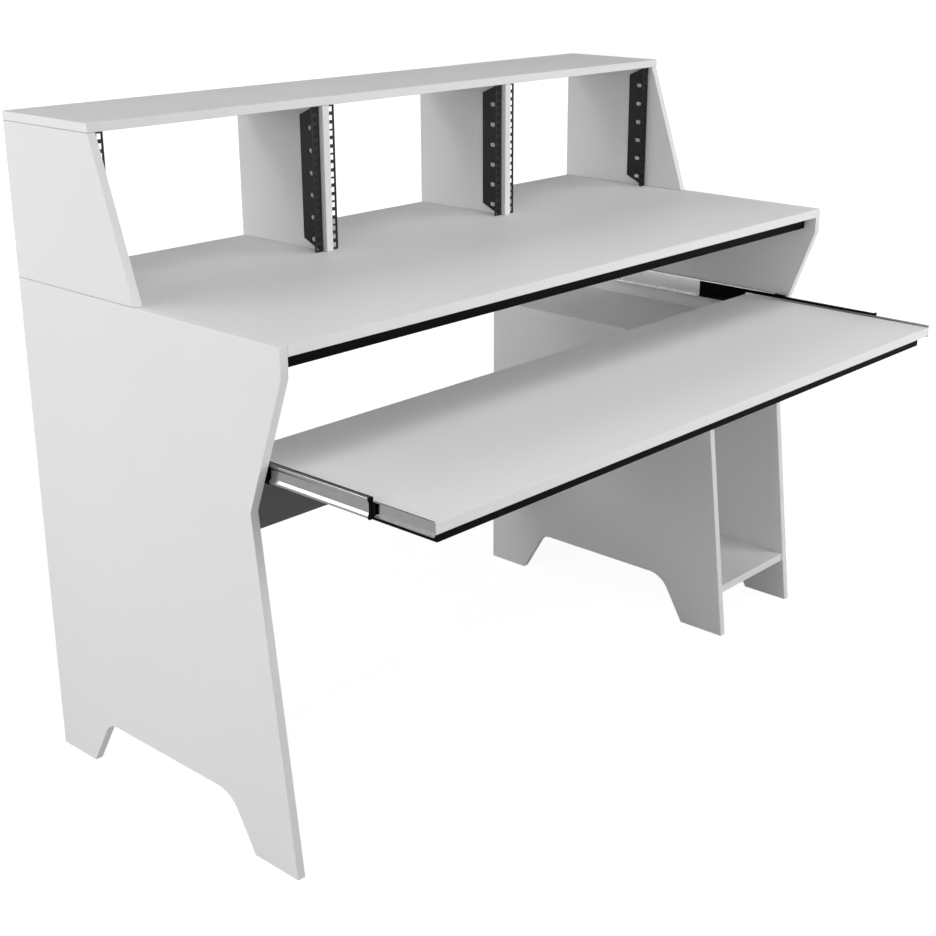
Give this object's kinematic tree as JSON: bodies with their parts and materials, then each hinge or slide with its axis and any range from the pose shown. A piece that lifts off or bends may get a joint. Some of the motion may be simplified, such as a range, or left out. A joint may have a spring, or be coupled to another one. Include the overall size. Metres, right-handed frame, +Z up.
{
  "type": "studio desk",
  "caption": "White studio desk with rack bays over the desktop, a keyboard tray on telescopic ball slides and a computer bay beside the leg space.",
  "frame": {"origin": "on the floor, at the middle of the bounding box with the keyboard tray drawn out as in the picture", "axes": "+X to the desk's right as seen from the front, +Y towards its back, +Z up"},
  "size_m": [1.534, 0.99, 1.216],
  "materials": {
    "white_laminate": "matt white melamine laminate, rounded edge banding",
    "dark_laminate": "matt anthracite melamine laminate",
    "black_steel": "satin black powder coat",
    "zinc_steel": "bright zinc plated, rolled steel",
    "black_plastic": "moulded black acetal"
  },
  "bodies": {
    "desk": {"side_panel_left": "white_laminate", "side_panel_right": "white_laminate", "desktop": "white_laminate", "upper_side_left": "white_laminate", "upper_side_right": "white_laminate", "bay_divider_1": "white_laminate", "bay_divider_2": "white_laminate", "top_shelf": "white_laminate", "rack_rail_1_left": "black_steel", "rack_rail_1_right": "black_steel", "rack_rail_2_left": "black_steel", "rack_rail_2_right": "black_steel", "rack_rail_3_left": "black_steel", "rack_rail_3_right": "black_steel", "bay_panel": "white_laminate", "bay_top": "white_laminate", "bay_shelf": "white_laminate", "rear_board": "dark_laminate", "desktop_stiffener": "black_steel", "slide_outer_left": "zinc_steel", "slide_outer_right": "zinc_steel"},
    "tray": {"tray": "white_laminate", "tray_tube_front": "black_steel", "tray_tube_right": "black_steel", "tray_tube_rear": "black_steel", "tray_tube_left": "black_steel", "slide_inner_left": "zinc_steel", "slide_inner_right": "zinc_steel"},
    "middle_left": {"slide_middle_left": "zinc_steel", "ball_strip_left": "black_plastic"},
    "middle_right": {"slide_middle_right": "zinc_steel", "ball_strip_right": "black_plastic"},
    "cage_left": {"ball_cage_left": "black_plastic"},
    "cage_right": {"ball_cage_right": "black_plastic"}
  },
  "joints": [
    {"name": "tray_slide", "type": "slide", "parent": "desk", "child": "tray", "axis": [0, 1, 0], "range_m": [0, 0.375]},
    {"name": "middle_slide_left", "type": "slide", "parent": "desk", "child": "middle_left", "axis": [0, 1, 0], "range_m": [0, 0.25]},
    {"name": "middle_slide_right", "type": "slide", "parent": "desk", "child": "middle_right", "axis": [0, 1, 0], "range_m": [0, 0.25]},
    {"name": "cage_slide_left", "type": "slide", "parent": "desk", "child": "cage_left", "axis": [0, 1, 0], "range_m": [0, 0.125]},
    {"name": "cage_slide_right", "type": "slide", "parent": "desk", "child": "cage_right", "axis": [0, 1, 0], "range_m": [0, 0.125]}
  ],
  "couplings": [
    {"joint": "middle_slide_left", "follows": "tray_slide", "ratio": 0.66667},
    {"joint": "middle_slide_right", "follows": "tray_slide", "ratio": 0.66667},
    {"joint": "cage_slide_left", "follows": "tray_slide", "ratio": 0.33333},
    {"joint": "cage_slide_right", "follows": "tray_slide", "ratio": 0.33333}
  ]
}
